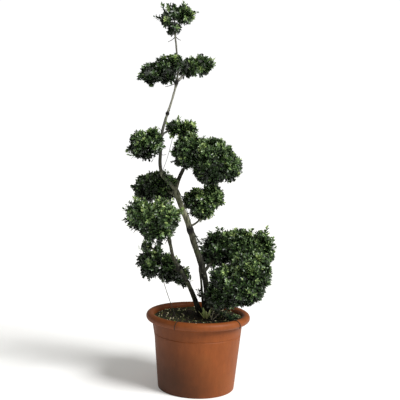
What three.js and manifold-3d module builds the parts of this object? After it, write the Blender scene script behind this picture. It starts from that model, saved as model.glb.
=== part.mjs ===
// Cloud-pruned box tree in a round nursery pot: two leaning stems that carry clipped pads of foliage.
// Millimetres, +Z up, +X to the right and +Y to the back of the tree.
// The origin is the centre of the pot's underside.
import * as THREE from "three";
import { mergeVertices } from "three/addons/utils/BufferGeometryUtils.js";
import Module from "manifold-3d";

const wasm = await Module();
wasm.setup();

// ---- Driving dimensions -----------------------------------------------------------------------------

const GAP = 0.3; // between pieces that touch

const POT = {
  height: 438,
  rimRadius: 300,
  rollRadius: 22.7, // the rolled rim's own section
  footRadius: 221,
  wall: 5,
  floor: 7,
  footEdge: 5, // chamfer round the foot
  grooveZ: 321,
  grooveDepth: 2.2,
  grooveHalfWidth: 4,
  segments: 40,
};
const DRAIN = { holes: 6, radius: 9, pitchRadius: 130, sides: 10 };
const LUG = { angle: 186, bottomZ: 296, topZ: 402, width: 16, proud: 9, toe: 16 };

const COMPOST = { crownZ: 416, edgeDrop: 8, crownRadius: 170 };

const FLARE = { rise: 55, ribs: 5, ribDepth: 0.22 }; // root flare at the foot of a stem

// A small lobe has shorter leaves. Width and thickness are shares of the length.
const LEAF = { length: 78, lobeShare: 1, width: 0.7, thick: 0.06, widest: 0.62 };
const SPRIG = {
  cover: 4.8, // area of a lobe's skin for each sprig, in leaf lengths squared
  rootDepth: 0.42, // under the skin, in leaf lengths
  pairs: [{ foot: 0.36, tip: 0.78 }, { foot: 0.16, tip: 0.46 }], // from the sprig's axis, in leaf lengths
  twig: 0.06,
  twigSides: 3,
  twigTip: 0.1,
};
// sunk is how far a core lies under the leaf tips, in leaf lengths. A lobe past bigLobe gets a finer core.
const CORE = { sunk: 0.24, lump: 0.14, bigLobe: 110 };

const COLOURS = { pot: 0xa2583a, compost: 0x2a211a, bark: 0x6b6554, leaf: 0x35502a };

const v = (x, y, z) => new THREE.Vector3(x, y, z);

// ---- Solids: three.js geometry to manifold-3d and back ----------------------------------------------

function solidOf(geometry) {
  const bare = geometry.index ? geometry.toNonIndexed() : geometry.clone();
  bare.deleteAttribute("normal");
  bare.deleteAttribute("uv");
  const merged = mergeVertices(bare, 1e-3);
  const vertProperties = merged.attributes.position.array;
  const triVerts = new Uint32Array(merged.index.array);
  return new wasm.Manifold(new wasm.Mesh({ numProp: 3, vertProperties, triVerts }));
}

function geometryOf(solid) {
  const mesh = solid.getMesh();
  const geometry = new THREE.BufferGeometry();
  geometry.setAttribute("position", new THREE.BufferAttribute(mesh.vertProperties, 3));
  geometry.setIndex(new THREE.BufferAttribute(mesh.triVerts, 1));
  const flat = geometry.toNonIndexed();
  flat.computeVertexNormals();
  return flat;
}

const join = (solids) => solids.reduce((all, next) => all.add(next));
const cutBy = (solid, cutters) => cutters.reduce((left, cutter) => left.subtract(cutter), solid);

// A cut can leave loose scraps: the piece that counts is the largest.
function largestPiece(solid) {
  return solid.decompose().reduce((best, piece) => (piece.volume() > best.volume() ? piece : best));
}

// A small seeded generator (mulberry32), so that every build grows the same tree.
function seeded(seed) {
  let state = seed >>> 0;
  return () => {
    state = (state + 0x6d2b79f5) >>> 0;
    let mixed = Math.imul(state ^ (state >>> 15), state | 1);
    mixed ^= mixed + Math.imul(mixed ^ (mixed >>> 7), mixed | 61);
    return ((mixed ^ (mixed >>> 14)) >>> 0) / 4294967296;
  };
}

const materialOf = (color, roughness) => new THREE.MeshStandardMaterial({ color, roughness, metalness: 0 });
const materials = {
  pot: materialOf(COLOURS.pot, 0.55),
  compost: materialOf(COLOURS.compost, 0.95),
  bark: materialOf(COLOURS.bark, 0.85),
  leaf: materialOf(COLOURS.leaf, 0.5),
};

const tree = new THREE.Group();
tree.name = "cloud_pruned_box";

function addNode(name, solid, material) {
  const mesh = new THREE.Mesh(geometryOf(solid), material);
  mesh.name = name;
  tree.add(mesh);
}

// ---- Pot: one moulding with a rolled rim, a groove under it, drain holes and a lug ------------------

const rollCentreR = POT.rimRadius - POT.rollRadius;
const rollCentreZ = POT.height - POT.rollRadius;
const innerTopR = rollCentreR - POT.rollRadius;
const outerTopR = innerTopR + POT.wall;

// The wall leans out evenly from the foot to the rim.
const outerRadiusAt = (z) => POT.footRadius + ((outerTopR - POT.footRadius) * z) / rollCentreZ;
const innerRadiusAt = (z) => outerRadiusAt(z) - POT.wall;

function potSolid() {
  const meetAngle = Math.PI + Math.acos((rollCentreR - outerTopR) / POT.rollRadius);
  const rollSteps = 9;
  const profile = [
    new THREE.Vector2(0, 0),
    new THREE.Vector2(POT.footRadius - POT.footEdge, 0),
    new THREE.Vector2(outerRadiusAt(POT.footEdge), POT.footEdge),
  ];
  for (const step of [-1, 0, 1]) {
    const z = POT.grooveZ + step * POT.grooveHalfWidth;
    profile.push(new THREE.Vector2(outerRadiusAt(z) - (step === 0 ? POT.grooveDepth : 0), z));
  }
  for (let i = 0; i <= rollSteps; i++) {
    const angle = meetAngle + ((3 * Math.PI - meetAngle) * i) / rollSteps;
    const r = rollCentreR + POT.rollRadius * Math.cos(angle);
    profile.push(new THREE.Vector2(r, rollCentreZ + POT.rollRadius * Math.sin(angle)));
  }
  profile.push(new THREE.Vector2(innerRadiusAt(POT.floor), POT.floor));
  profile.push(new THREE.Vector2(0, POT.floor));
  const body = solidOf(new THREE.LatheGeometry(profile, POT.segments).rotateX(Math.PI / 2));

  const drains = [];
  for (let i = 0; i < DRAIN.holes; i++) {
    const angle = (2 * Math.PI * i) / DRAIN.holes;
    const hole = new THREE.CylinderGeometry(DRAIN.radius, DRAIN.radius, 4 * POT.floor, DRAIN.sides);
    hole.rotateX(Math.PI / 2);
    hole.translate(DRAIN.pitchRadius * Math.cos(angle), DRAIN.pitchRadius * Math.sin(angle), 0);
    drains.push(solidOf(hole));
  }
  return cutBy(body.add(lugSolid()), drains);
}

// A short rib under the rim, with a sloping toe, fused to the wall.
function lugSolid() {
  const toeZ = LUG.bottomZ + LUG.toe;
  const side = new THREE.Shape();
  side.moveTo(outerRadiusAt(LUG.bottomZ) - POT.wall / 2, LUG.bottomZ);
  side.lineTo(outerRadiusAt(toeZ) + LUG.proud, toeZ);
  side.lineTo(outerRadiusAt(LUG.topZ) + LUG.proud, LUG.topZ);
  side.lineTo(outerRadiusAt(LUG.topZ) - POT.wall / 2, LUG.topZ);
  side.closePath();
  const rib = new THREE.ExtrudeGeometry(side, { depth: LUG.width, bevelEnabled: false });
  rib.translate(0, 0, -LUG.width / 2).rotateX(Math.PI / 2);
  rib.rotateZ(THREE.MathUtils.degToRad(LUG.angle));
  return solidOf(rib);
}

addNode("pot", potSolid(), materials.pot);

// ---- Compost: fills the pot to a flat crown that the stems stand on ---------------------------------

const compostEdgeZ = COMPOST.crownZ - COMPOST.edgeDrop;

function compostSolid() {
  const bottomZ = POT.floor + GAP;
  const profile = [
    new THREE.Vector2(0, bottomZ),
    new THREE.Vector2(innerRadiusAt(bottomZ) - GAP, bottomZ),
    new THREE.Vector2(innerRadiusAt(compostEdgeZ) - GAP, compostEdgeZ),
    new THREE.Vector2(COMPOST.crownRadius, COMPOST.crownZ),
    new THREE.Vector2(0, COMPOST.crownZ),
  ];
  return solidOf(new THREE.LatheGeometry(profile, POT.segments).rotateX(Math.PI / 2));
}

addNode("compost", compostSolid(), materials.compost);

// ---- Limbs: each one is a tapering cylinder bent along a curve --------------------------------------

const limbs = []; // in the order of growth: each is cut clear of those before it

// Radius at share t of the way along: an even taper, swollen at the knots and at a root flare.
function radiusAt(limb, t, angle) {
  const length = limb.curve.getLength();
  let radius = THREE.MathUtils.lerp(limb.radii[0], limb.radii[1], t);
  for (const knot of limb.knots ?? []) {
    const away = ((t - knot.at) * length) / knot.reach;
    radius += knot.swell * Math.exp(-away * away);
  }
  if (limb.flare) {
    const fade = Math.exp((-t * length) / FLARE.rise);
    radius += limb.flare * fade * (1 + FLARE.ribDepth * Math.cos(FLARE.ribs * angle));
  }
  return radius;
}

// grow makes the same limb larger all round, as the cutter that keeps its neighbours clear of it.
function limbSolid(limb, grow = 0) {
  const { curve, sides, steps } = limb;
  const geometry = new THREE.CylinderGeometry(1, 1, 1, sides, steps);
  const frames = curve.computeFrenetFrames(steps);
  const position = geometry.attributes.position;
  for (let i = 0; i < position.count; i++) {
    const t = position.getY(i) + 0.5;
    const step = Math.round(t * steps);
    const across = position.getX(i);
    const along = position.getZ(i);
    const radius = radiusAt(limb, t, Math.atan2(along, across)) + grow;
    const end = t < 0.5 / steps ? -grow : t > 1 - 0.5 / steps ? grow : 0;
    const point = curve
      .getPointAt(THREE.MathUtils.clamp(t, 0, 1))
      .addScaledVector(frames.binormals[step], across * radius)
      .addScaledVector(frames.normals[step], along * radius)
      .addScaledVector(frames.tangents[step], end);
    position.setXYZ(i, point.x, point.y, point.z);
  }
  return solidOf(geometry);
}

// Everything below the top of the compost, grown by the gap: it cuts the stems' feet flat.
const groundCutter = (() => {
  const side = 4 * POT.rimRadius;
  return solidOf(new THREE.BoxGeometry(side, side, side).translate(0, 0, COMPOST.crownZ + GAP - side / 2));
})();

function addLimb(name, limb) {
  limb.curve = new THREE.CatmullRomCurve3(limb.route, false, "centripetal");
  limb.sides ??= 8;
  limb.steps ??= 3 * (limb.route.length - 1);
  let solid = cutBy(limbSolid(limb), limbs.map((other) => other.cutter));
  if (limb.rooted) solid = solid.subtract(groundCutter);
  limb.cutter = limbSolid(limb, GAP);
  limbs.push(limb);
  addNode(name, largestPiece(solid), materials.bark);
}

const UNDER_GROUND = 30; // how far a stem's route starts under the ground cut
const footOf = (x, y) => v(x, y, COMPOST.crownZ - UNDER_GROUND);
const fork = v(-154, 0, 1136);
const bend = v(-211, 0, 1581); // a pruning knot where the leader changes direction
const tierNode = v(-168, 0, 1746); // the knot that carries the two flat upper pads

addLimb("main_trunk", {
  route: [footOf(55, 20), v(50, 18, 505), v(38, 8, 605), v(9, 2, 712), v(-29, 0, 815), v(-80, 0, 960),
    v(-122, 0, 1056), fork],
  radii: [17.5, 16],
  knots: [
    { at: 0.69, swell: 4, reach: 26 },
    { at: 0.45, swell: 1.5, reach: 24 },
    { at: 0.99, swell: 3, reach: 30 },
  ],
  steps: 20,
  flare: 20,
  rooted: true,
  sides: 12,
});

addLimb("leader", {
  route: [fork, v(-190, -4, 1180), v(-229, -8, 1216), v(-245, -10, 1275), v(-246, -10, 1350),
    v(-240, -6, 1465), bend],
  radii: [10.5, 7.5],
  knots: [{ at: 0.98, swell: 3.5, reach: 12 }],
});

addLimb("upper_leader", {
  route: [bend, v(-190, 0, 1649), tierNode, v(-161, 0, 1819), v(-168, 0, 1890), v(-184, 0, 2016)],
  radii: [6.5, 5],
  knots: [{ at: 0.38, swell: 5, reach: 13 }],
  steps: 12,
});

addLimb("left_stem", {
  route: [footOf(22, -10), v(-2, -6, 459), v(-60, 0, 592), v(-120, -2, 692), v(-153, -9, 748),
    v(-171, -26, 820), v(-183, -52, 884)],
  radii: [15.5, 8.5],
  knots: [
    { at: 0.62, swell: 4, reach: 18 },
    { at: 0.93, swell: 3, reach: 14 },
  ],
  flare: 10,
  rooted: true,
  sides: 10,
});

addLimb("side_stem", {
  route: [footOf(38, -28), v(19, -6, 545), v(9, -8, 630), v(0, -9, 680), v(0, -1, 722)],
  radii: [7.5, 5.5],
  flare: 5,
  steps: 10,
  rooted: true,
});

// Boughs: [the point on the parent's axis, a point on the way, the tip where the bough enters its pad]
const boughs = {
  bough_upper_right: { route: [fork, v(-141, 0, 1192), v(-112, -4, 1262)], radii: [12.5, 10.5] },
  bough_middle_right: { route: [v(-70, 0, 930), v(-38, 10, 946), v(-4, 24, 974)], radii: [7, 5] },
  bough_low_right_back: { route: [v(22, 4, 668), v(42, 26, 690), v(64, 66, 716)], radii: [11, 8] },
  bough_low_right_front: { route: [v(52, 18, 482), v(64, -22, 498), v(82, -66, 530)], radii: [14, 10] },
  bough_middle_left: { route: [v(-140, 0, 1102), v(-172, 34, 1116), v(-206, 76, 1130)], radii: [10, 7.5] },
  bough_low_left: { route: [v(-100, 0, 668), v(-124, 30, 668), v(-152, 62, 670)], radii: [8, 6] },
  bough_upper_middle: { route: [v(-242, -7, 1440), v(-228, 22, 1462), v(-204, 50, 1480)], radii: [6, 4.5] },
  bough_tier_left: { route: [tierNode, v(-188, -8, 1762), v(-214, -16, 1786)], radii: [6, 4.5] },
  bough_tier_right: { route: [tierNode, v(-154, 10, 1768), v(-128, 20, 1798)], radii: [6, 4.5] },
};
for (const [name, bough] of Object.entries(boughs)) addLimb(name, { ...bough, sides: 7 });

// ---- Foliage pads: clipped masses of leaves, each one node ------------------------------------------
// A pad is made of lobes, ellipsoids that its leaf tips reach to: [centre, radii]. Its stem grows from foot,
// a point inside the limb that carries it, to each lobe's centre.

const pads = {
  pad_top: {
    foot: v(-184, 0, 2010),
    lobes: [
      [v(-190, 0, 2082), v(60, 54, 64)],
      [v(-144, 4, 2136), v(70, 64, 70)],
      [v(-226, -4, 2116), v(54, 52, 54)],
    ],
  },
  pad_tier_left: {
    foot: v(-211, -15, 1784),
    lobes: [
      [v(-226, -22, 1812), v(68, 64, 84)],
      [v(-308, -26, 1788), v(72, 66, 68)],
    ],
  },
  pad_tier_right: {
    foot: v(-130, 19, 1795),
    lobes: [
      [v(-100, 32, 1832), v(72, 64, 66)],
      [v(-26, 30, 1852), v(78, 70, 66)],
    ],
  },
  pad_upper_left: {
    foot: v(-246, -10, 1352),
    lobes: [
      [v(-292, -34, 1408), v(68, 78, 80)],
      [v(-354, -36, 1390), v(80, 80, 88)],
      [v(-330, -30, 1346), v(60, 66, 56)],
    ],
  },
  pad_upper_middle: {
    foot: v(-206, 48, 1478),
    lobes: [
      [v(-170, 80, 1492), v(66, 54, 54)],
      [v(-102, 84, 1482), v(66, 58, 70)],
    ],
  },
  pad_upper_right: {
    foot: v(-113, -4, 1260),
    lobes: [
      [v(-82, -18, 1360), v(102, 94, 108)],
      [v(46, -22, 1344), v(146, 132, 112)],
      [v(126, -10, 1284), v(98, 98, 96)],
      [v(34, -14, 1254), v(96, 92, 88)],
    ],
  },
  pad_middle_right: {
    foot: v(-7, 22, 971),
    lobes: [
      [v(10, 36, 1036), v(82, 76, 90)],
      [v(50, 34, 1106), v(84, 82, 88)],
      [v(-40, 46, 1080), v(80, 72, 82)],
    ],
  },
  pad_middle_left: {
    foot: v(-203, 72, 1128),
    lobes: [
      [v(-256, 130, 1148), v(114, 112, 98)],
      [v(-326, 126, 1140), v(90, 92, 86)],
    ],
  },
  pad_lower_left: {
    foot: v(-183, -50, 881),
    lobes: [
      [v(-222, -122, 1004), v(102, 98, 100)],
      [v(-330, -124, 998), v(100, 94, 96)],
      [v(-270, -122, 928), v(104, 92, 90)],
    ],
  },
  pad_low_left: {
    foot: v(-149, 59, 670),
    lobes: [
      [v(-188, 102, 666), v(92, 82, 86)],
      [v(-282, 102, 710), v(94, 86, 98)],
      [v(-318, 98, 792), v(56, 48, 60)],
      [v(-108, 92, 626), v(60, 60, 60)],
    ],
  },
  pad_low_right_back: {
    foot: v(62, 63, 714),
    lobes: [
      [v(118, 132, 792), v(104, 98, 120)],
      [v(240, 134, 802), v(122, 116, 120)],
      [v(360, 128, 788), v(92, 86, 122)],
      [v(48, 118, 742), v(68, 66, 98)],
    ],
  },
  pad_low_right_front: {
    foot: v(80, -62, 527),
    lobes: [
      [v(140, -118, 540), v(96, 88, 70)],
      [v(232, -138, 622), v(146, 132, 114)],
      [v(282, -128, 706), v(130, 116, 126)],
      [v(116, -124, 640), v(106, 90, 120)],
    ],
  },
};

const allLobes = Object.entries(pads).flatMap(([name, { lobes }]) => lobes.map((lobe) => ({ name, lobe })));

// 1 on the ellipsoid's surface, less inside it.
const depthIn = ([centre, radii], point) => point.clone().sub(centre).divide(radii).length();
const areaOf = ({ x, y, z }) => (4 / 3) * Math.PI * (x * y + y * z + z * x);
const leafLengthOf = ({ x, y, z }) => Math.min(LEAF.length, LEAF.lobeShare * Math.min(x, y, z));

// Whether a point keeps to the pad's own space, clear of the other pads, the limbs and the pot.
function isFree(name, point, clear) {
  const own = pads[name].lobes.some((lobe) => depthIn(lobe, point) < 1.02);
  const taken = allLobes.some((other) => other.name !== name && depthIn(other.lobe, point) < 1);
  const inLimb = limbs.some((limb) =>
    limb.samples.some(({ at, radius }) => at.distanceTo(point) < radius + clear));
  const inPot = point.z < POT.height + clear && Math.hypot(point.x, point.y) > innerTopR - clear;
  return own && !taken && !inLimb && !inPot && point.z > COMPOST.crownZ + clear;
}

for (const limb of limbs) {
  const count = Math.ceil(limb.curve.getLength() / 8);
  limb.samples = Array.from({ length: count + 1 }, (_, i) => ({
    at: limb.curve.getPointAt(i / count),
    radius: radiusAt(limb, i / count, 0),
  }));
}

// A lumpy ball, smaller than its lobe by the shell that the leaves fill.
function coreSolid([centre, radii], random) {
  const shell = CORE.sunk * leafLengthOf(radii);
  const detail = Math.max(radii.x, radii.y, radii.z) > CORE.bigLobe ? 2 : 1;
  const facets = new THREE.IcosahedronGeometry(1, detail).deleteAttribute("normal").deleteAttribute("uv");
  const ball = mergeVertices(facets);
  const position = ball.attributes.position;
  for (let i = 0; i < position.count; i++) {
    const lump = 1 + CORE.lump * (random() - 0.5);
    position.setXYZ(i, position.getX(i) * lump, position.getY(i) * lump, position.getZ(i) * lump);
  }
  ball.scale(radii.x - shell, radii.y - shell, radii.z - shell).translate(centre.x, centre.y, centre.z);
  return solidOf(ball);
}

// A straight tapering stick between two points.
function stickSolid(from, to, radii, sides) {
  const along = to.clone().sub(from);
  const stick = new THREE.CylinderGeometry(radii[1], radii[0], along.length(), sides);
  stick.translate(0, along.length() / 2, 0);
  stick.applyQuaternion(new THREE.Quaternion().setFromUnitVectors(v(0, 1, 0), along.normalize()));
  return solidOf(stick.translate(from.x, from.y, from.z));
}

// A leaf is two three-sided points, base to base: flat above, keeled below. Its face turns to up.
function leafSolid(root, tip, up) {
  const length = root.distanceTo(tip);
  const way = tip.clone().sub(root).normalize();
  const leaf = new THREE.SphereGeometry(0.5, 3, 2).rotateY(Math.PI);
  leaf.computeBoundingBox();
  const { min, max } = leaf.boundingBox;
  leaf.translate(-max.x, 0.5, 0);
  const position = leaf.attributes.position;
  for (let i = 0; i < position.count; i++) {
    if (Math.abs(position.getY(i) - 0.5) < 0.1) position.setY(i, LEAF.widest);
  }
  leaf.scale((LEAF.thick * length) / (max.x - min.x), length, (LEAF.width * length) / (max.z - min.z));
  const face = up.clone().addScaledVector(way, -up.dot(way)).normalize();
  leaf.applyMatrix4(new THREE.Matrix4().makeBasis(face, way, face.clone().cross(way)));
  return solidOf(leaf.translate(root.x, root.y, root.z));
}

// The sprigs of one lobe stand round it evenly, by the golden angle. Each has a pointed twig between two
// crossed pairs of leaves, as box does. A sprig is left out where the pad's other lobes cover it.
function sprigsOf(name, index, random) {
  const lobe = pads[name].lobes[index];
  const [centre, radii] = lobe;
  const length = leafLengthOf(radii);
  const twigRadius = SPRIG.twig * length;
  const parts = [];
  const count = Math.round(areaOf(radii) / (SPRIG.cover * length * length));
  for (let i = 0; i < count; i++) {
    const height = 1 - (2 * i + 1) / count;
    const turn = i * Math.PI * (3 - Math.sqrt(5)) + random() * 0.5;
    const ring = Math.sqrt(1 - height * height);
    const unit = v(ring * Math.cos(turn), ring * Math.sin(turn), height);
    const surface = unit.clone().multiply(radii).add(centre);
    const out = unit.clone().divide(radii).normalize();
    const side = out.clone().cross(v(0.3, 0.2, 1)).normalize();
    side.applyAxisAngle(out, Math.PI * random());
    if (pads[name].lobes.some((other) => other !== lobe && depthIn(other, surface) < 0.95)) continue;

    // The point of the skin that lies a number of leaf lengths to the side of the sprig.
    const skinAt = (lengths) => {
      const beside = surface.clone().addScaledVector(side, lengths * length).sub(centre).divide(radii);
      return beside.normalize().multiply(radii).add(centre);
    };
    const leaves = [];
    for (const pair of SPRIG.pairs) {
      for (const sign of [1, -1]) {
        const root = skinAt(sign * pair.foot).addScaledVector(out, -SPRIG.rootDepth * length);
        const tip = skinAt(sign * pair.tip);
        const free = [0.5, 0.75, 1].every((share) =>
          isFree(name, root.clone().lerp(tip, share), share < 1 ? 0.2 * length : 3));
        if (free) leaves.push(leafSolid(root, tip, out));
      }
      side.applyAxisAngle(out, Math.PI / 2);
    }
    if (!leaves.length) continue;
    const twigFoot = surface.clone().addScaledVector(out, -2 * SPRIG.rootDepth * length);
    const twigTip = surface.clone().addScaledVector(out, -SPRIG.twigTip * length);
    parts.push(stickSolid(twigFoot, twigTip, [twigRadius, twigRadius / 3], SPRIG.twigSides), ...leaves);
  }
  return parts;
}

function padSolid(name, seed) {
  const { foot, lobes } = pads[name];
  const random = seeded(seed);
  const carrier = limbs.find((limb) => limb.samples.some(({ at, radius }) => at.distanceTo(foot) < radius));
  const stemRadius = 0.8 * carrier.radii[1];
  const parts = [];
  let from = foot;
  lobes.forEach((lobe, index) => {
    parts.push(stickSolid(from, lobe[0], [stemRadius, stemRadius * 0.7], 6), coreSolid(lobe, random));
    parts.push(...sprigsOf(name, index, random));
    from = lobes[0][0];
  });
  return largestPiece(cutBy(join(parts), limbs.map((limb) => limb.cutter)));
}

Object.keys(pads).forEach((name, index) => addNode(name, padSolid(name, 11 + index), materials.leaf));

export default tree;
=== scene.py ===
import math

import bmesh
import bpy
import numpy as np
from mathutils import Matrix, Vector, noise


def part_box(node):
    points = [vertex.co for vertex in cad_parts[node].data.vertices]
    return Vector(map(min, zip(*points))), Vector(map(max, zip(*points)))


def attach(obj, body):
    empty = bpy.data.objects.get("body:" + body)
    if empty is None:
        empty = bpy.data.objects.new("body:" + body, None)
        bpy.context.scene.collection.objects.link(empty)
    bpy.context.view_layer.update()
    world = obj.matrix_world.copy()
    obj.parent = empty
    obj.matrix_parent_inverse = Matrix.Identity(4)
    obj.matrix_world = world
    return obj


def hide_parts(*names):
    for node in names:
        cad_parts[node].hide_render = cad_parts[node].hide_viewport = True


# Cloud-pruned box tree in a round nursery pot: two leaning stems that carry clipped pads of foliage.
# Metres, +Z up, +X to the right and +Y to the back. The origin is the middle of the pot's underside.
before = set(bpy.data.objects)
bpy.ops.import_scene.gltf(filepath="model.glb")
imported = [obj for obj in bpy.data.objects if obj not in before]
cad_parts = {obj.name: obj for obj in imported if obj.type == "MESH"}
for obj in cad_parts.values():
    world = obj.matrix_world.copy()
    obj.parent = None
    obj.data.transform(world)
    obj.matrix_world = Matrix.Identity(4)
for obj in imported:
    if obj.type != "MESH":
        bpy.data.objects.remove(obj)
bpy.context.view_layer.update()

# ---- Camera ----
# It stands in front of the tree at chest height and looks a little down, with a slight tilt of the head.
CAMERA_PLACE = (0.0, -4.001, 1.356)
CAMERA_DOWN = math.radians(3.86)
CAMERA_TURN = math.radians(0.17)
CAMERA_ROLL = math.radians(1.95)


def placed(name, data):
    """A new object in the scene, with its mesh, curve, camera or lamp."""
    made = bpy.data.objects.new(name, data)
    bpy.context.scene.collection.objects.link(made)
    return made


view = bpy.data.cameras.new("camera")
view.sensor_width = 36
view.lens = 63
camera = placed("camera", view)
camera.matrix_world = (
    Matrix.Translation(CAMERA_PLACE)
    @ Matrix.Rotation(CAMERA_TURN, 4, "Z")
    @ Matrix.Rotation(math.pi / 2 - CAMERA_DOWN, 4, "X")
    @ Matrix.Rotation(CAMERA_ROLL, 4, "Z")
)
bpy.context.scene.camera = camera

# ---- Pot ----
# An injection-moulded polypropylene tub, coloured right through like terracotta. Its wall is one even
# thickness and curls outwards at the top into a rolled rim; a groove runs round it under the rim.
POT_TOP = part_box("pot")[1].z
ROLL_RADIUS = 0.0227
ROLL_CENTRE = (0.2773, POT_TOP - ROLL_RADIUS)
FOOT_RADIUS = 0.221
FOOT_ROUNDING = 0.004
WALL = 0.005
FLOOR = 0.007
GROOVE_HEIGHT = 0.321
GROOVE_HALF = 0.004
GROOVE_DEPTH = 0.0026
DRAIN_HOLES = 6
DRAIN_RADIUS = 0.009
DRAIN_CIRCLE = 0.130
LUG_ANGLE = math.radians(186)
LUG_SPAN = (0.296, 0.402)
LUG_SIZE = (0.012, 0.016)
LUG_ROUNDING = 0.002
SHARP_ANGLE = 35
# Grime round a point low on the left of the foot, made broader and darker there as painted shade.
GRIME_AND_SHADE_MIDDLE = (-0.14, -0.19, 0.0)
GRIME_AND_SHADE_REACH = 0.24
# Painted shade on the pot's left side: full left of the first x, gone by the second.
PAINTED_SHADE_SIDE = (-0.22, 0.06)


def wall_radius(height):
    """The outer face of the tapered wall at a height."""
    inner_roll = ROLL_CENTRE[0] - ROLL_RADIUS + WALL
    return FOOT_RADIUS + (inner_roll - FOOT_RADIUS) * height / ROLL_CENTRE[1]


def arc(centre, radius, start, stop, steps):
    """Points on an arc of the section, from one angle to the other in degrees."""
    angles = [math.radians(start + (stop - start) * i / steps) for i in range(steps + 1)]
    return [(centre[0] + radius * math.cos(a), centre[1] + radius * math.sin(a)) for a in angles]


def spun(outline, steps):
    """A bmesh spun round Z from an outline of (radius, height) points that starts and ends on Z."""
    shape = bmesh.new()
    corners = [shape.verts.new((radius, 0, height)) for radius, height in outline]
    edges = [shape.edges.new(pair) for pair in zip(corners, corners[1:])]
    bmesh.ops.spin(shape, geom=corners + edges, axis=(0, 0, 1), cent=(0, 0, 0), steps=steps,
                   angle=2 * math.pi, use_merge=True)
    bmesh.ops.remove_doubles(shape, verts=shape.verts, dist=1e-5)
    bmesh.ops.recalc_face_normals(shape, faces=shape.faces)
    return shape


def mesh_of(shape, name, sharp=SHARP_ANGLE):
    """A shaded mesh of a bmesh, with its edges sharp where faces meet at more than that many degrees."""
    mesh = bpy.data.meshes.new(name)
    shape.to_mesh(mesh)
    shape.free()
    mesh.shade_smooth()
    mesh.set_sharp_from_angle(angle=math.radians(sharp))
    return mesh


def piece(name, mesh, slot, finishes, *nodes):
    """Shows a mesh as a piece of the plant, in place of the solids that it stands for."""
    made = placed(name, mesh)
    for finish in finishes:
        mesh.materials.append(finish)
    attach(made, "root")
    if nodes:
        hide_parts(*nodes)


def linear(colour):
    """An sRGB hex colour as linear red, green, blue and alpha."""
    shares = [int(colour[i : i + 2], 16) / 255 for i in (0, 2, 4)]
    return (*[s / 12.92 if s <= 0.04045 else ((s + 0.055) / 1.055) ** 2.4 for s in shares], 1)


def add(material, kind, inputs=(), **settings):
    """Adds a shader node. An input is given a value, or the socket or node that it is linked from. A node
    gives its first output."""
    made = material.node_tree.nodes.new("ShaderNode" + kind)
    for name, value in settings.items():
        setattr(made, name, value)
    for name, value in dict(inputs).items():
        if isinstance(value, bpy.types.Node):
            value = value.outputs[0]
        if isinstance(value, bpy.types.NodeSocket):
            material.node_tree.links.new(value, made.inputs[name])
        else:
            made.inputs[name].default_value = value
    return made


def surface(name, roughness, specular=0.5):
    """A new material with its Principled shader, and the object's own coordinates."""
    made = bpy.data.materials.new(name)
    made.use_nodes = True
    shader = made.node_tree.nodes["Principled BSDF"]
    shader.inputs["Roughness"].default_value = roughness
    shader.inputs["Specular IOR Level"].default_value = specular
    return made, shader, add(made, "TexCoord").outputs["Object"]


def dress(material, shader, colour, height, depth):
    """Gives the shader a colour, and a bump from a height whose full range is depth in metres."""
    bump = add(material, "Bump", {"Height": height, "Distance": depth, "Strength": 1.0})
    material.node_tree.links.new(colour.outputs["Color"], shader.inputs["Base Color"])
    material.node_tree.links.new(bump.outputs["Normal"], shader.inputs["Normal"])


def per_metre(width):
    """The scale of a noise whose marks are so many millimetres wide."""
    return 1000 / width


def moulded_terracotta():
    """Matt moulded plastic: faint flow streaks down the wall, dull scuffs, painted shade that darkens its
    left side, and wet grime at its foot, made broader and darker at the lower left as painted shade. Real
    scuffs are 1 or 2 mm wide; drawn 8 mm wide, they show."""
    made, shader, place = surface("moulded polypropylene", 0.55, 0.22)
    down = add(made, "Mapping", {"Vector": place, "Scale": (1, 1, 0.3)})
    streaks = add(made, "TexNoise", {"Vector": down, "Scale": per_metre(30), "Detail": 6, "Roughness": 0.65})
    colour = add(made, "MixRGB", {"Fac": streaks, "Color1": linear("6e3814"), "Color2": linear("954f22")})
    patches = add(made, "TexNoise", {"Vector": place, "Scale": per_metre(140), "Detail": 6,
                                     "Roughness": 0.65})
    dusty = add(made, "MapRange", {"Value": patches, "From Min": 0.5, "From Max": 0.72, "To Max": 0.35})
    specks = add(made, "TexNoise", {"Vector": place, "Scale": per_metre(8), "Detail": 4, "Roughness": 0.7})
    scuffed = add(made, "MapRange", {"Value": specks, "From Min": 0.58, "From Max": 0.72, "To Max": 0.4})
    # Painted shade: dark brown laid over the pot's left side, strongest at the far left.
    across_pot = add(made, "SeparateXYZ", {"Vector": place}).outputs["X"]
    painted_side_shade = add(made, "MapRange", {"Value": across_pot, "From Min": PAINTED_SHADE_SIDE[1],
                                    "From Max": PAINTED_SHADE_SIDE[0], "To Max": 0.42},
                 interpolation_type="SMOOTHSTEP")
    # Grime and painted shade: dark brown round a point at the lower left of the foot, ragged at its edge.
    away = add(made, "VectorMath", {0: place, 1: GRIME_AND_SHADE_MIDDLE}, operation="DISTANCE").outputs["Value"]
    ragged = add(made, "Math", {0: patches, 1: -GRIME_AND_SHADE_REACH, 2: away}, operation="MULTIPLY_ADD")
    grime_and_shade = add(made, "MapRange", {"Value": ragged, "From Min": GRIME_AND_SHADE_REACH, "From Max": -0.2 * GRIME_AND_SHADE_REACH,
                                  "To Max": 0.72}, interpolation_type="SMOOTHSTEP")
    for mask, laid_over in ((dusty, "9c5c2c"), (scuffed, "3c1c10"), (painted_side_shade, "3a1d08"), (grime_and_shade, "2a1503")):
        colour = add(made, "MixRGB", {"Fac": mask, "Color1": colour, "Color2": linear(laid_over)})
    dull = add(made, "MapRange", {"Value": patches, "To Min": 0.4, "To Max": 0.66})
    made.node_tree.links.new(dull.outputs["Result"], shader.inputs["Roughness"])
    dress(made, shader, colour, specks, 0.0004)
    return made


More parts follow.
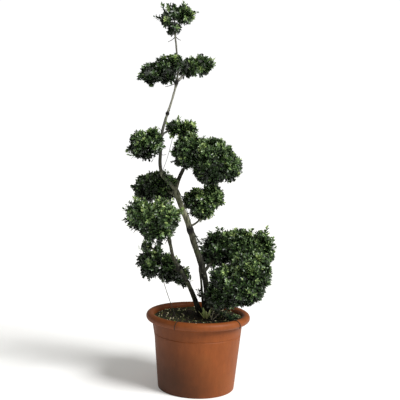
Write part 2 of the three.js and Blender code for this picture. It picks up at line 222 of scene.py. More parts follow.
def applied(shown):
    """The mesh that an object's modifiers or its curve give. The object itself goes."""
    mesh = bpy.data.meshes.new_from_object(shown.evaluated_get(bpy.context.evaluated_depsgraph_get()))
    bpy.data.objects.remove(shown)
    return mesh


def drilled(mesh):
    """The tub with its drain holes: six short cylinders cut from its floor."""
    drill = bmesh.new()
    for hole in range(DRAIN_HOLES):
        turn = Matrix.Rotation(2 * math.pi * hole / DRAIN_HOLES, 4, "Z")
        bmesh.ops.create_cone(drill, cap_ends=True, segments=24, radius1=DRAIN_RADIUS, radius2=DRAIN_RADIUS,
                              depth=4 * FLOOR, matrix=turn @ Matrix.Translation((DRAIN_CIRCLE, 0, 0)))
    bit = placed("drill", mesh_of(drill, "drill"))
    tub = placed("tub", mesh)
    cut = tub.modifiers.new("drain holes", "BOOLEAN")
    cut.object = bit
    bored = applied(tub)
    bored.set_sharp_from_angle(angle=math.radians(SHARP_ANGLE))
    bpy.data.objects.remove(bit)
    return bored


terracotta = moulded_terracotta()
groove = [(wall_radius(GROOVE_HEIGHT + lift) - dent, GROOVE_HEIGHT + lift) for lift, dent in (
    (-GROOVE_HALF, 0), (-GROOVE_HALF / 2, GROOVE_DEPTH * 0.8), (0, GROOVE_DEPTH),
    (GROOVE_HALF / 2, GROOVE_DEPTH * 0.8), (GROOVE_HALF, 0))]
foot_edge = arc((FOOT_RADIUS - FOOT_ROUNDING, FOOT_ROUNDING), FOOT_ROUNDING, -90, 0, 4)
inside_roll = arc(ROLL_CENTRE, ROLL_RADIUS - WALL, 180, -95, 20)
outside_roll = arc(ROLL_CENTRE, ROLL_RADIUS, -100, 180, 28)
inner_wall = [(FOOT_RADIUS - WALL, FLOOR), (0, FLOOR)]
section = [(0, 0), *foot_edge, *groove, *inside_roll, *outside_roll, *inner_wall]
piece("pot_shell", drilled(mesh_of(spun(section, 144), "pot_shell")), "pot", [terracotta], "pot")

# A moulded lug stands out of the wall under the rim, at the left; its foot slopes back into the wall.
lug = bmesh.new()
lug_height = LUG_SPAN[1] - LUG_SPAN[0]
bmesh.ops.create_cube(lug, size=1, matrix=Matrix.Diagonal((*LUG_SIZE, lug_height, 1)))
for corner in lug.verts:
    height = corner.co.z + (LUG_SPAN[0] + LUG_SPAN[1]) / 2
    if corner.co.z < 0 and corner.co.x > 0:
        corner.co.x *= -0.5
    corner.co = (wall_radius(height) + corner.co.x + LUG_SIZE[0] / 4, corner.co.y, height)
bmesh.ops.bevel(lug, geom=lug.edges, offset=LUG_ROUNDING, segments=3, affect="EDGES", profile=0.5,
                material=-1)
bmesh.ops.rotate(lug, verts=lug.verts, cent=(0, 0, 0), matrix=Matrix.Rotation(LUG_ANGLE, 3, "Z"))
piece("pot_lug", mesh_of(lug, "pot_lug"), "pot", [terracotta])

# ---- Compost ----
# Dark peaty potting compost that fills the pot to a low crown, crumbly on top. Moss, straw and pale bits of
# bark lie on it.
CROWN_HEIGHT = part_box("compost")[1].z
CROWN_RADIUS = 0.17
EDGE_HEIGHT = CROWN_HEIGHT - 0.008
EDGE_GAP = 0.0004
CROWN_RINGS = 48
CLOD_HEIGHT = 0.006
# The crumbled surface has lumps and, on them, crumbs: their width, their share of its height and a seed.
CLODS = [(0.038, 0.75, 0.3), (0.0105, 0.45, 4.1)]


def compost_height(radius):
    """The smooth crown of the compost at a distance from the pot's axis."""
    edge = wall_radius(EDGE_HEIGHT) - WALL
    share = min(max((radius - CROWN_RADIUS) / (edge - CROWN_RADIUS), 0), 1)
    return CROWN_HEIGHT + (EDGE_HEIGHT - CROWN_HEIGHT) * share * share * (3 - 2 * share)


def clods(x, y):
    """How far the crumbled surface lies from its smooth crown."""
    heights = [share * noise.noise(Vector((x / width, y / width, seed))) for width, share, seed in CLODS]
    return CLOD_HEIGHT * sum(heights)


def peat():
    """Moist peat: nearly black, with brown fibre and green moss in patches, and no shine. Its fibres are 1 mm
    thick; they are drawn 6 mm thick, to show."""
    made, shader, place = surface("moist peat compost", 0.9, 0.25)
    fibre = add(made, "TexNoise", {"Vector": place, "Scale": per_metre(6), "Detail": 6, "Roughness": 0.7})
    brown = add(made, "MixRGB", {"Fac": fibre, "Color1": linear("0c0906"), "Color2": linear("261c12")})
    moss = add(made, "TexNoise", {"Vector": place, "Scale": per_metre(70), "Detail": 6, "Roughness": 0.65})
    grown = add(made, "MapRange", {"Value": moss, "From Min": 0.52, "From Max": 0.64, "To Max": 0.85})
    greens = add(made, "MixRGB", {"Fac": fibre, "Color1": linear("1d2410"), "Color2": linear("4c5a26")})
    colour = add(made, "MixRGB", {"Fac": grown, "Color1": brown, "Color2": greens})
    dress(made, shader, colour, fibre, 0.002)
    return made


compost_edge = wall_radius(EDGE_HEIGHT) - WALL - EDGE_GAP
rings = [compost_edge * i / CROWN_RINGS for i in range(CROWN_RINGS + 1)]
crown = [(radius, compost_height(radius)) for radius in rings]
compost = spun([*crown, (FOOT_RADIUS - WALL - EDGE_GAP, FLOOR + EDGE_GAP), (0, FLOOR + EDGE_GAP)], 160)
for corner in compost.verts:
    # The last ring stays level, where the compost meets the pot's wall.
    inside = math.hypot(corner.co.x, corner.co.y) < compost_edge * 0.995
    if inside and corner.co.z > EDGE_HEIGHT / 2:
        corner.co.z += clods(corner.co.x, corner.co.y)
piece("compost_surface", mesh_of(compost, "compost_surface", 80), "compost", [peat()], "compost")


def plain(name, colour, roughness, specular=0.5):
    """A material of one colour all over, for crumbs and leaves too small to show a pattern."""
    made, shader, _ = surface(name, roughness, specular)
    shader.inputs["Base Color"].default_value = linear(colour)
    return made


def triangles_of(shape):
    """The corners and the triangles of a small bmesh, as arrays for copies of it."""
    bmesh.ops.triangulate(shape, faces=shape.faces)
    corners = np.array([v.co for v in shape.verts])
    faces = np.array([[v.index for v in face.verts] for face in shape.faces])
    shape.free()
    return corners, faces


def joined(name, template, frames, places, picks):
    """One mesh of many copies of a template. frames are 3x3 matrices with the copies' sizes in them, and
    picks the number of each copy's material."""
    corners, faces = template
    count = len(places)
    points = np.einsum("nij,kj->nki", frames, corners) + places[:, None]
    loops = faces[None] + len(corners) * np.arange(count)[:, None, None]
    mesh = bpy.data.meshes.new(name)
    mesh.vertices.add(count * len(corners))
    mesh.vertices.foreach_set("co", points.astype(np.float32).ravel())
    mesh.loops.add(loops.size)
    mesh.loops.foreach_set("vertex_index", loops.astype(np.int32).ravel())
    mesh.polygons.add(count * len(faces))
    mesh.polygons.foreach_set("loop_start", np.arange(0, loops.size, 3, dtype=np.int32))
    mesh.polygons.foreach_set("material_index", np.repeat(picks, len(faces)).astype(np.int32))
    mesh.update(calc_edges=True)
    mesh.shade_smooth()
    return mesh


def crumb():
    """A crumb one unit across: a rounded lump of twenty faces."""
    shape = bmesh.new()
    bmesh.ops.create_icosphere(shape, subdivisions=1, radius=0.5)
    return triangles_of(shape)


def strewn(name, sizes, flatness, ring, finishes, shares=None, raised=0):
    """A piece of crumbs that lie any way up on the compost, in a ring between two shares of its radius.
    shares says how many of them have each finish."""
    count = len(sizes)
    frames = np.linalg.qr(soil_rng.normal(size=(count, 3, 3)))[0]
    frames[:, :, 0] *= np.sign(np.linalg.det(frames))[:, None]
    stretch = soil_rng.uniform(0.6, 1, (count, 3)) * (1, 1, flatness)
    frames *= (sizes[:, None] * stretch)[:, None, :]
    radius = compost_edge * np.sqrt(soil_rng.uniform(ring[0] ** 2, ring[1] ** 2, count))
    angle = soil_rng.uniform(0, 2 * math.pi, count)
    places = np.stack([radius * np.cos(angle), radius * np.sin(angle), radius], 1)
    for place in places:
        place[2] = compost_height(place[2]) + clods(place[0], place[1]) + raised
    picks = soil_rng.choice(len(finishes), count, p=shares)
    mesh = joined(name, crumb(), frames, places, picks)
    piece(name, mesh, "compost", [plain(*finish) for finish in finishes])


soil_rng = np.random.default_rng(5)
# Crumbs are 2.5 to 9 mm across, most of them small; tufts of moss 4 to 12 mm; chips 6 to 19 mm.
CRUMB_SIZES = 0.0025 + 0.0065 * soil_rng.power(0.6, 2600)
strewn("compost_crumbs", CRUMB_SIZES, 0.7, (0, 0.985), [
    ("black peat crumb", "0f0c09", 0.9, 0.25), ("brown peat crumb", "241a11", 0.9, 0.25),
    ("root fibre crumb", "56472f", 0.85, 0.3), ("wet peat crumb", "1c150e", 0.7, 0.4)])
MOSS_SIZES = soil_rng.uniform(0.004, 0.012, 620)
strewn("compost_moss", MOSS_SIZES, 0.5, (0.45, 1), [
    ("dark moss", "26300f", 0.85, 0.3), ("green moss", "47561e", 0.85, 0.3),
    ("yellow moss", "636d2c", 0.8, 0.3), ("liverwort", "5d7a2a", 0.6, 0.4)], (0.42, 0.3, 0.18, 0.1))
CHIP_SIZES = soil_rng.uniform(0.006, 0.019, 150)
strewn("compost_chips", CHIP_SIZES, 0.35, (0.3, 0.985), [
    ("weathered bark chip", "85775a", 0.8), ("pale straw", "d0c8a6", 0.75), ("dry moss", "b3b486", 0.8)],
    raised=0.002)

# ---- Stems and boughs ----
# Living box wood under thin grey-olive bark, cracked lengthwise, with dark pruning scars. Each limb runs
# on a smooth line through its corners, tapers to its tip, and swells at its knots and its foot.
BARK_STEP = 0.004
BARK_RELIEF = 0.0011
CRACK_SIZE = (0.0048, 0.03)
CRACK_LIFT = 1.3
RIDGE_TOP = 0.15
PLATE_SIZE = (0.017, 0.045)
PLATE_LIFT = 0.9
FOOT_SUNK = 0.008
ROUTE_START = CROWN_HEIGHT - 0.03
FLARE_RISE = 0.055
RIBS = 5
RIB_DEPTH = 0.22
LIMB_ROUNDING = 12
# A scar's share of its knot's reach, and the stubs' darkness, step, taper and sag.
SCAR_SHARE = 0.6
STUB_DARKNESS = 0.45
STUB_STEP = 0.003
STUB_TAPER = 0.6
STUB_SAG = (0, 0.002, -0.003)
# The bark's tint at each height: grey bc leaves the wood's own colour as it is. It follows the bark's age,
# and its near-white bands are painted light where the pads shade the limbs.
BARK_AGE_AND_LIGHT_TINTS = [(0.4, "3a3a34"), (0.7, "4c4c44"), (0.82, "7c7c6e"), (0.9, "aaaa9c"), (0.97, "f6f6e4"),
             (1.06, "c8cab6"), (1.21, "c1c5ba"), (1.27, "66665f"), (1.42, "5c5c5a"), (1.53, "a8a8aa"),
             (1.6, "eeeef0"), (1.75, "f3f3f5"), (2.02, "e6e6ec")]
FORK = (-0.154, 0, 1.136)
BEND = (-0.211, 0, 1.581)
TIER_NODE = (-0.168, 0, 1.746)
# Each limb: its corners, its radius at the foot and at the tip, its knots (share of the way, swelling,
# reach along the limb, darkness of the scar), and how far its foot flares.
LIMBS = {
    "main_trunk": (
        [(0.055, 0.02, ROUTE_START), (0.05, 0.018, 0.505), (0.038, 0.008, 0.605), (0.009, 0.002, 0.712),
         (-0.029, 0, 0.815), (-0.08, 0, 0.96), (-0.122, 0, 1.056), FORK],
        (0.0175, 0.016), [(0.69, 0.004, 0.02, 1), (0.45, 0.0015, 0.024, 0.4), (0.99, 0.003, 0.03, 0)],
        0.02),
    "leader": (
        [FORK, (-0.19, -0.004, 1.18), (-0.229, -0.008, 1.216), (-0.245, -0.01, 1.275),
         (-0.246, -0.01, 1.35), (-0.24, -0.006, 1.465), BEND],
        (0.0105, 0.0075), [(0.98, 0.004, 0.009, 1)], 0),
    "upper_leader": (
        [BEND, (-0.19, 0, 1.649), TIER_NODE, (-0.161, 0, 1.819), (-0.168, 0, 1.89), (-0.184, 0, 2.016)],
        (0.0065, 0.005), [(0.39, 0.006, 0.018, 1)], 0),
    "left_stem": (
        [(0.022, -0.01, ROUTE_START), (-0.002, -0.006, 0.459), (-0.06, 0, 0.592), (-0.12, -0.002, 0.692),
         (-0.153, -0.009, 0.748), (-0.171, -0.026, 0.82), (-0.183, -0.052, 0.884)],
        (0.0155, 0.0085), [(0.62, 0.004, 0.018, 0.6), (0.93, 0.003, 0.014, 0.6)], 0.01),
    "side_stem": (
        [(0.038, -0.028, ROUTE_START), (0.019, -0.006, 0.545), (0.009, -0.008, 0.63), (0, -0.009, 0.68),
         (0, -0.001, 0.722)],
        (0.0075, 0.0055), [], 0.005),
    "bough_upper_right": ([FORK, (-0.141, 0, 1.192), (-0.112, -0.004, 1.262)], (0.0125, 0.0105),
                          [(0.65, 0, 0.07, 0.9)], 0),
    "bough_middle_right": ([(-0.07, 0, 0.93), (-0.038, 0.01, 0.946), (-0.004, 0.024, 0.974)],
                           (0.007, 0.005), [(0.4, 0, 0.04, 0.7)], 0),
    "bough_low_right_back": ([(0.022, 0.004, 0.668), (0.042, 0.026, 0.69), (0.064, 0.066, 0.716)],
                             (0.011, 0.008), [], 0),
    "bough_low_right_front": ([(0.052, 0.018, 0.482), (0.064, -0.022, 0.498), (0.082, -0.066, 0.53)],
                              (0.014, 0.01), [], 0),
    "bough_middle_left": ([(-0.14, 0, 1.102), (-0.172, 0.034, 1.116), (-0.206, 0.076, 1.13)],
                          (0.01, 0.0075), [], 0),
    "bough_low_left": ([(-0.1, 0, 0.668), (-0.124, 0.03, 0.668), (-0.152, 0.062, 0.67)],
                       (0.008, 0.006), [], 0),
    "bough_upper_middle": ([(-0.242, -0.007, 1.44), (-0.228, 0.022, 1.462), (-0.204, 0.05, 1.48)],
                           (0.006, 0.0045), [], 0),
    "bough_tier_left": ([TIER_NODE, (-0.188, -0.008, 1.762), (-0.214, -0.016, 1.786)],
                        (0.006, 0.0045), [(0, 0, 0.034, 0.9)], 0),
    "bough_tier_right": ([TIER_NODE, (-0.154, 0.01, 1.768), (-0.128, 0.02, 1.798)],
                         (0.006, 0.0045), [(0, 0, 0.034, 0.9)], 0),
}
# Cut and dead side shoots on the limbs: where each starts and ends, and its radius at the start.
STUBS = [
    ((-0.181, 0, 2.004), (-0.222, -0.004, 1.973), 0.0026),
    ((-0.183, 0, 2.006), (-0.15, 0.004, 1.985), 0.0026),
    ((-0.169, -0.002, 1.745), (-0.231, -0.012, 1.721), 0.0026),
    ((-0.166, 0.002, 1.746), (-0.127, 0.012, 1.787), 0.0026),
    ((-0.168, 0, 1.744), (-0.186, -0.008, 1.752), 0.004),
    ((-0.245, -0.01, 1.338), (-0.212, -0.012, 1.34), 0.0018),
    ((-0.073, -0.014, 0.954), (-0.056, -0.02, 0.983), 0.0018),
    ((-0.064, -0.012, 0.866), (-0.043, -0.03, 0.806), 0.001),
    ((-0.182, -0.046, 0.878), (-0.2, -0.062, 0.836), 0.003),
    ((-0.112, -0.012, 0.705), (-0.094, -0.03, 0.7), 0.006),
    ((-0.079, -0.012, 0.93), (-0.06, -0.026, 0.924), 0.004),
    ((-0.238, 0.0, 1.47), (-0.262, 0.006, 1.492), 0.002),
    ((-0.212, 0.0, 1.583), (-0.2, -0.008, 1.59), 0.0035),
    ((0.004, -0.01, 0.71), (0.022, -0.024, 0.726), 0.003),
]


def smooth_line(corners, step):
    """Points every step along the centripetal Catmull-Rom curve through the corners, as on the solids."""
    corners = [np.array(c, float) for c in corners]
    reach = [2 * corners[0] - corners[1], *corners, 2 * corners[-1] - corners[-2]]
    fine = []
    share = np.linspace(0, 1, 24, endpoint=False)[:, None]
    for before, start, end, after in zip(reach, reach[1:], reach[2:], reach[3:]):
        a, b, c = (math.sqrt(np.linalg.norm(q - p)) for p, q in ((before, start), (start, end), (end, after)))
        leave = ((start - before) / a - (end - before) / (a + b) + (end - start) / b) * b
        arrive = ((end - start) / b - (after - start) / (b + c) + (after - end) / c) * b
        fine.append((2 * share**3 - 3 * share**2 + 1) * start + (share**3 - 2 * share**2 + share) * leave
                    + (3 * share**2 - 2 * share**3) * end + (share**3 - share**2) * arrive)
    line = np.concatenate([*fine, [corners[-1]]])
    along = np.concatenate([[0], np.cumsum(np.linalg.norm(np.diff(line, axis=0), axis=1))])
    even = np.linspace(0, along[-1], max(int(along[-1] / step), 3))
    return np.stack([np.interp(even, along, line[:, axis]) for axis in range(3)], 1), even


def rods(name, strands, rounding):
    """One mesh of closed tubes, each from a line and a radius at each of its points: a curve with a round
    bevel, made a mesh."""
    curve = bpy.data.curves.new(name, "CURVE")
    curve.dimensions = "3D"
    curve.bevel_depth = 1
    curve.bevel_resolution = rounding
    curve.use_fill_caps = True
    for line, radii in strands:
        strand = curve.splines.new("POLY")
        strand.points.add(len(line) - 1)
        strand.points.foreach_set("co", np.column_stack([line, np.ones(len(line))]).ravel())
        strand.points.foreach_set("radius", radii)
    mesh = applied(placed(name, curve))
    mesh.shade_smooth()
    return mesh


def barked(mesh, foot, flare, scars):
    """Raises the bark's long cracks and plates and the root flare's ribs, and marks the scars."""
    marks = mesh.attributes.new("scar", "FLOAT", "POINT")
    for corner, mark in zip(mesh.vertices, marks.data):
        x, y, z = corner.co
        cracks = noise.noise(Vector((x / CRACK_SIZE[0], y / CRACK_SIZE[0], z / CRACK_SIZE[1])))
        plates = noise.noise(Vector((x / PLATE_SIZE[0], y / PLATE_SIZE[0], z / PLATE_SIZE[1] + 7)))
        low = flare * math.exp((ROUTE_START - z) / FLARE_RISE)
        ribs = low * RIB_DEPTH * math.cos(RIBS * math.atan2(y - foot[1], x - foot[0]))
        # The ridges between the cracks are worn flat, so a crack goes deeper than they rise.
        lift = BARK_RELIEF * (CRACK_LIFT * min(cracks, RIDGE_TOP) + PLATE_LIFT * plates) + ribs
        for middle, thick, fade, darkness in scars:
            away = max((corner.co - Vector(middle)).length - thick, 0)
            mark.value = max(mark.value, darkness * math.exp(-((away / fade) ** 2)))
        corner.co += corner.normal * lift
    return mesh


def bark():
    """Box bark: dull grey-olive, cracked lengthwise, with lichen flecks, moss and old scars. It is nearly
    black where it stays moist, near the pot, and silvery on the young leaders; where the pads shade the limbs
    it is lightened further as painted light. Its cracks are 2 or 3 mm apart; they are drawn 6 mm apart, to
    show."""
    made, shader, place = surface("box bark", 0.82, 0.3)
    long = add(made, "Mapping", {"Vector": place, "Scale": (1, 1, 0.14)})
    cracks = add(made, "TexNoise", {"Vector": long, "Scale": per_metre(6), "Detail": 5, "Roughness": 0.65})
    plates = add(made, "MapRange", {"Value": cracks, "From Min": 0.36, "From Max": 0.66})
    wood = add(made, "MixRGB", {"Fac": plates, "Color1": linear("1b1a16"), "Color2": linear("868577")})
    lowest, highest = BARK_AGE_AND_LIGHT_TINTS[0][0], BARK_AGE_AND_LIGHT_TINTS[-1][0]
    height = add(made, "SeparateXYZ", {"Vector": place}).outputs["Z"]
    share = add(made, "MapRange", {"Value": height, "From Min": lowest, "From Max": highest})
    # Tint by height: the bark's age, with painted light in the near-white bands where the pads shade the
    # limbs.
    age_and_light_tints = add(made, "ValToRGB", {"Fac": share})
    stops = age_and_light_tints.color_ramp.elements
    for number, (level, tint) in enumerate(BARK_AGE_AND_LIGHT_TINTS):
        at = (level - lowest) / (highest - lowest)
        stop = stops[number] if number < 2 else stops.new(at)
        stop.position = at
        stop.color = linear(tint)
    colour = add(made, "MixRGB", {"Fac": 1, "Color1": wood, "Color2": age_and_light_tints}, blend_type="OVERLAY")
    moss = add(made, "TexNoise", {"Vector": place, "Scale": per_metre(50), "Detail": 4, "Roughness": 0.6})
    mossy = add(made, "MapRange", {"Value": moss, "From Min": 0.52, "From Max": 0.64, "To Max": 0.55})
    lichen = add(made, "TexNoise", {"Vector": place, "Scale": per_metre(14), "Detail": 3, "Roughness": 0.5})
    flecks = add(made, "MapRange", {"Value": lichen, "From Min": 0.62, "From Max": 0.7, "To Max": 0.5})
    scar = add(made, "Attribute", attribute_name="scar").outputs["Fac"]
    for mask, laid_over in ((mossy, "434a2c"), (flecks, "8e8f7c"), (scar, "13110d")):
        colour = add(made, "MixRGB", {"Fac": mask, "Color1": colour, "Color2": linear(laid_over)})
    dress(made, shader, colour, cracks, 0.0014)
    return made


box_bark = bark()
limb_points = []
for limb, (corners, radii, knots, flare) in LIMBS.items():
    line, along = smooth_line(corners, BARK_STEP)
    share = along / along[-1]
    thick = radii[0] + (radii[1] - radii[0]) * share + flare * np.exp(-along / FLARE_RISE)
    scars = []
    for knot_share, swelling, reach, darkness in knots:
        thick += swelling * np.exp(-(((share - knot_share) * along[-1]) / reach) ** 2)
        nearest = np.argmin(np.abs(share - knot_share))
        scars.append((line[nearest], thick[nearest], SCAR_SHARE * reach, darkness))
    above = line[:, 2] > CROWN_HEIGHT - FOOT_SUNK
    line, thick = line[above], thick[above]
    limb_points.append(np.column_stack([line, thick]))
    mesh = barked(rods(limb, [(line, thick)], LIMB_ROUNDING), line[0], flare, scars)
    piece(limb + "_bark", mesh, "bark", [box_bark], limb)
for number, (start, end, radius) in enumerate(STUBS):
    middle = (np.array(start) + end) / 2 + STUB_SAG
    line = smooth_line([start, middle, end], STUB_STEP)[0]
    mesh = rods("stub", [(line, np.linspace(radius, radius * STUB_TAPER, len(line)))], 2)
    marks = mesh.attributes.new("scar", "FLOAT", "POINT")
    marks.data.foreach_set("value", np.full(len(mesh.vertices), STUB_DARKNESS, np.float32))
    piece(f"side_stub_{number + 1}", mesh, "bark", [box_bark])
limb_points = np.concatenate(limb_points)

# ---- Foliage ----
# Clipped pads of box. In each, a bough forks to the middles of the pad's lobes, branches fan out from it,
# and leafy shoots end at the clipped skin, with small leathery leaves in crossed pairs.
GOLDEN_TURN = math.pi * (3 - math.sqrt(5))
# Boughs and branches: their radii at foot and tip, how far they arch (a bough by a share of its run) and
# bend, and where branches end.
BOUGH_RADII = (0.0045, 0.003)
BOUGH_ARCH = 0.14
BRANCH_RADII = (0.0022, 0.0012)
BRANCH_BEND = 0.004
BRANCH_ARCH = 0.003
BRANCH_REACH = 0.6
BRANCH_UNEVENNESS = (0.8, 1.1)
BRANCH_SPACING = 0.055
# Tufts of shoots sit all over a lobe's skin, and some inside a lobe that isn't full.
TUFT_SPACING = 0.037
TUFT_JITTER = 0.1
TUFT_SHOOTS = 5
TUFT_SPREAD = 0.01155
TUFT_UNEVENNESS = 0.006
INNER_SHARE = 0.45
INNER_DEPTH = (0.25, 0.8)
BURIED = 0.72
DENT_WIDTH = 0.045
DENT_DEPTH = 0.013
SKIN_DEPTH = 0.018
SKIN_ROUGHNESS = 0.02
# Shoots lean upwards on twigs from the branches. A few strays stick out of the skin.
SHOOT_RADII = (0.001, 0.0006)
SHOOT_LENGTH = 0.062
SHOOT_LIFT = 0.7
SHOOT_BEND = 0.0015
TWIG_BEND = 0.001
STRAY_SHARE = 0.12
STRAY_REACH = (0.3, 1)
LEAF_LENGTH = 0.027
LEAF_SHAPE = 0.39
LEAF_FOLD = 0.28
LEAF_CURL = 0.16
LEAF_SPREAD = math.radians(47)
LEAF_LIFT = 0.45
LEAF_UNEVENNESS = (0.8, 1.15)
TURN_JITTER = 0.25
SPREAD_JITTER = 0.2
FACE_JITTER = 0.22
LEAF_CLEARANCE = 0.004
NODE_SPACING = 0.0085
NODE_UNEVENNESS = (0.85, 1.15)
# Each pair of leaves down a shoot: their size, how far they splay, and how much lighter they are. The young
# pairs at the tip are lighter; pairs further in are darker, as older leaves and as painted shade deeper in
# the pad.
LEAF_PAIRS = [(0.62, 0.5, 0.9), (0.85, 0.8, 0.45), (1, 1, 0), (1, 1.05, -0.3), (1, 1.1, -0.8),
              (1, 1.15, -1.2)]
# A leaf's tone counts the leaf colours from the darkest. It is higher on the sunny side, on stray shoots, in
# yellower pads and on a few shoots of new growth.
SUNNY_SIDE = np.array((0.36, -0.3, 0.88))
PAD_LIGHT = 0.55
DEEP_TONE = 1.6
SUN_TONE = 1.7
YELLOW_TONE = 3
STRAY_TONE = 1.1
NEW_GROWTH_TONE = 1.6
NEW_GROWTH_SHARE = 0.06
YELLOW_GROWTH_SHARE = 0.1
TUFT_TONE_JITTER = 0.7
SHOOT_TONE_JITTER = 0.4
LEAF_TONE_JITTER = 0.75
# The pads' foot, their lobes as (centre, reach, how full of leaves), how far stray shoots stick out, and
# how far their leaves lean to yellow-green.
PADS = {
    "pad_top": ((-0.184, 0, 2.01), [
        ((-0.195, 0, 2.064), (0.047, 0.046, 0.072), 0.48),
        ((-0.146, 0.004, 2.128), (0.075, 0.064, 0.068), 0.5),
        ((-0.226, -0.004, 2.096), (0.059, 0.052, 0.058), 0.44),
        ((-0.192, 0, 2.146), (0.054, 0.048, 0.05), 0.44)],
        0.04, 0.12),
    "pad_tier_left": ((-0.211, -0.015, 1.784), [
        ((-0.226, -0.022, 1.813), (0.073, 0.064, 0.096), 0.72),
        ((-0.308, -0.026, 1.788), (0.072, 0.066, 0.068), 0.72),
        ((-0.172, -0.034, 1.854), (0.05, 0.036, 0.054), 0.6)],
        0.02, -0.03),
    "pad_tier_right": ((-0.13, 0.019, 1.795), [
        ((-0.1, 0.032, 1.836), (0.072, 0.064, 0.061), 0.68),
        ((-0.026, 0.03, 1.854), (0.078, 0.07, 0.062), 0.68)],
        0.024, 0.1),
    "pad_upper_left": ((-0.246, -0.01, 1.352), [
        ((-0.292, -0.034, 1.406), (0.068, 0.078, 0.086), 0.9),
        ((-0.354, -0.036, 1.39), (0.08, 0.08, 0.088), 0.9),
        ((-0.33, -0.03, 1.346), (0.06, 0.066, 0.056), 0.45)],
        0.02, 0.0),
    "pad_upper_middle": ((-0.206, 0.048, 1.478), [
        ((-0.17, 0.08, 1.492), (0.066, 0.054, 0.054), 0.66),
        ((-0.102, 0.084, 1.482), (0.066, 0.058, 0.07), 0.66)],
        0.032, 0.22),
    "pad_upper_right": ((-0.113, -0.004, 1.26), [
        ((-0.082, -0.018, 1.36), (0.102, 0.094, 0.108), 1.0),
        ((0.042, -0.022, 1.34), (0.138, 0.132, 0.104), 1.0),
        ((0.126, -0.01, 1.287), (0.101, 0.098, 0.092), 1.0),
        ((0.034, -0.014, 1.254), (0.096, 0.092, 0.088), 1.0)],
        0.018, 0.0),
    "pad_middle_right": ((-0.007, 0.022, 0.971), [
        ((0.002, 0.036, 1.04), (0.078, 0.076, 0.083), 0.8),
        ((0.05, 0.034, 1.106), (0.084, 0.082, 0.088), 0.8),
        ((-0.04, 0.046, 1.08), (0.08, 0.072, 0.082), 0.8)],
        0.026, 0.2),
    "pad_middle_left": ((-0.203, 0.072, 1.128), [
        ((-0.256, 0.13, 1.148), (0.114, 0.112, 0.098), 0.9),
        ((-0.326, 0.126, 1.14), (0.09, 0.092, 0.086), 0.9)],
        0.016, -0.16),
    "pad_lower_left": ((-0.183, -0.05, 0.881), [
        ((-0.215, -0.122, 0.994), (0.102, 0.098, 0.097), 0.88),
        ((-0.33, -0.124, 0.998), (0.1, 0.094, 0.091), 0.88),
        ((-0.256, -0.122, 0.934), (0.108, 0.092, 0.084), 0.88)],
        0.036, 0.17),
    "pad_low_left": ((-0.149, 0.059, 0.67), [
        ((-0.196, 0.102, 0.676), (0.098, 0.084, 0.096), 0.6),
        ((-0.28, 0.102, 0.704), (0.1, 0.088, 0.108), 0.62),
        ((-0.318, 0.098, 0.792), (0.056, 0.048, 0.06), 0.18),
        ((-0.108, 0.092, 0.626), (0.06, 0.06, 0.06), 0.55)],
        0.022, 0.0),
    "pad_low_right_back": ((0.062, 0.063, 0.714), [
        ((0.118, 0.132, 0.796), (0.104, 0.098, 0.113), 0.85),
        ((0.24, 0.134, 0.802), (0.122, 0.116, 0.12), 0.85),
        ((0.353, 0.128, 0.788), (0.092, 0.086, 0.122), 0.85),
        ((0.054, 0.118, 0.756), (0.064, 0.062, 0.08), 0.72)],
        0.034, -0.07),
    "pad_low_right_front": ((0.08, -0.062, 0.527), [
        ((0.13, -0.118, 0.55), (0.106, 0.09, 0.082), 0.95),
        ((0.232, -0.138, 0.622), (0.142, 0.132, 0.114), 0.95),
        ((0.28, -0.128, 0.706), (0.127, 0.116, 0.126), 0.95),
        ((0.136, -0.124, 0.655), (0.084, 0.082, 0.09), 0.95)],
        0.022, -0.14),
}
# Box leaves from old and shaded to new and sunlit. Each spray has one of them, or two neighbours.
LEAF_COLOURS = {
    "oldest box leaf": "171f12", "shaded box leaf": "1d2a16", "dark box leaf": "26381c", "box leaf": "375028",
    "sunlit box leaf": "597441", "new box leaf": "88a262", "youngest box leaf": "abc074",
}
leaf_finishes = [plain(name, colour, 0.38, 0.8) for name, colour in LEAF_COLOURS.items()]


def box_leaf():
    """A box leaf one unit long on +Y, face up: a pointed oval of six corners, folded at the midrib and bent
    down at its tip."""
    half_hexagon = 0.866
    shape = bmesh.new()
    bmesh.ops.create_circle(shape, cap_ends=True, segments=6, radius=0.5)
    bmesh.ops.scale(shape, verts=shape.verts, vec=(LEAF_SHAPE / half_hexagon, 1, 1))
    bmesh.ops.translate(shape, verts=shape.verts, vec=(0, 0.5, 0))
    for point, normal in (((0, 0, 0), (1, 0, 0)), ((0, 0.25, 0), (0, 1, 0)), ((0, 0.75, 0), (0, 1, 0))):
        bmesh.ops.bisect_plane(shape, geom=[*shape.verts, *shape.edges, *shape.faces], dist=1e-5,
                               plane_co=point, plane_no=normal)
    for corner in shape.verts:
        corner.co.z = LEAF_FOLD * abs(corner.co.x) - LEAF_CURL * corner.co.y**2
    bmesh.ops.recalc_face_normals(shape, faces=shape.faces)
    if sum(face.normal.z for face in shape.faces) < 0:
        bmesh.ops.reverse_faces(shape, faces=shape.faces)
    return triangles_of(shape)


def spread_round(count, turn):
    """Directions spread evenly over a sphere by the golden angle."""
    step = np.arange(count) + 0.5
    rise = 1 - 2 * step / count
    angle = step * GOLDEN_TURN + turn
    return np.stack([np.sqrt(1 - rise**2) * np.cos(angle), np.sqrt(1 - rise**2) * np.sin(angle), rise], 1)


def unit(vectors):
    """The vectors at a length of one."""
    return vectors / np.maximum(np.linalg.norm(vectors, axis=-1, keepdims=True), 1e-9)


def across(axes):
    """Two directions square to each axis and to each other."""
    slanted = (0.31, 0.22, 0.93)
    side = unit(np.cross(axes, slanted))
    return side, np.cross(axes, side)


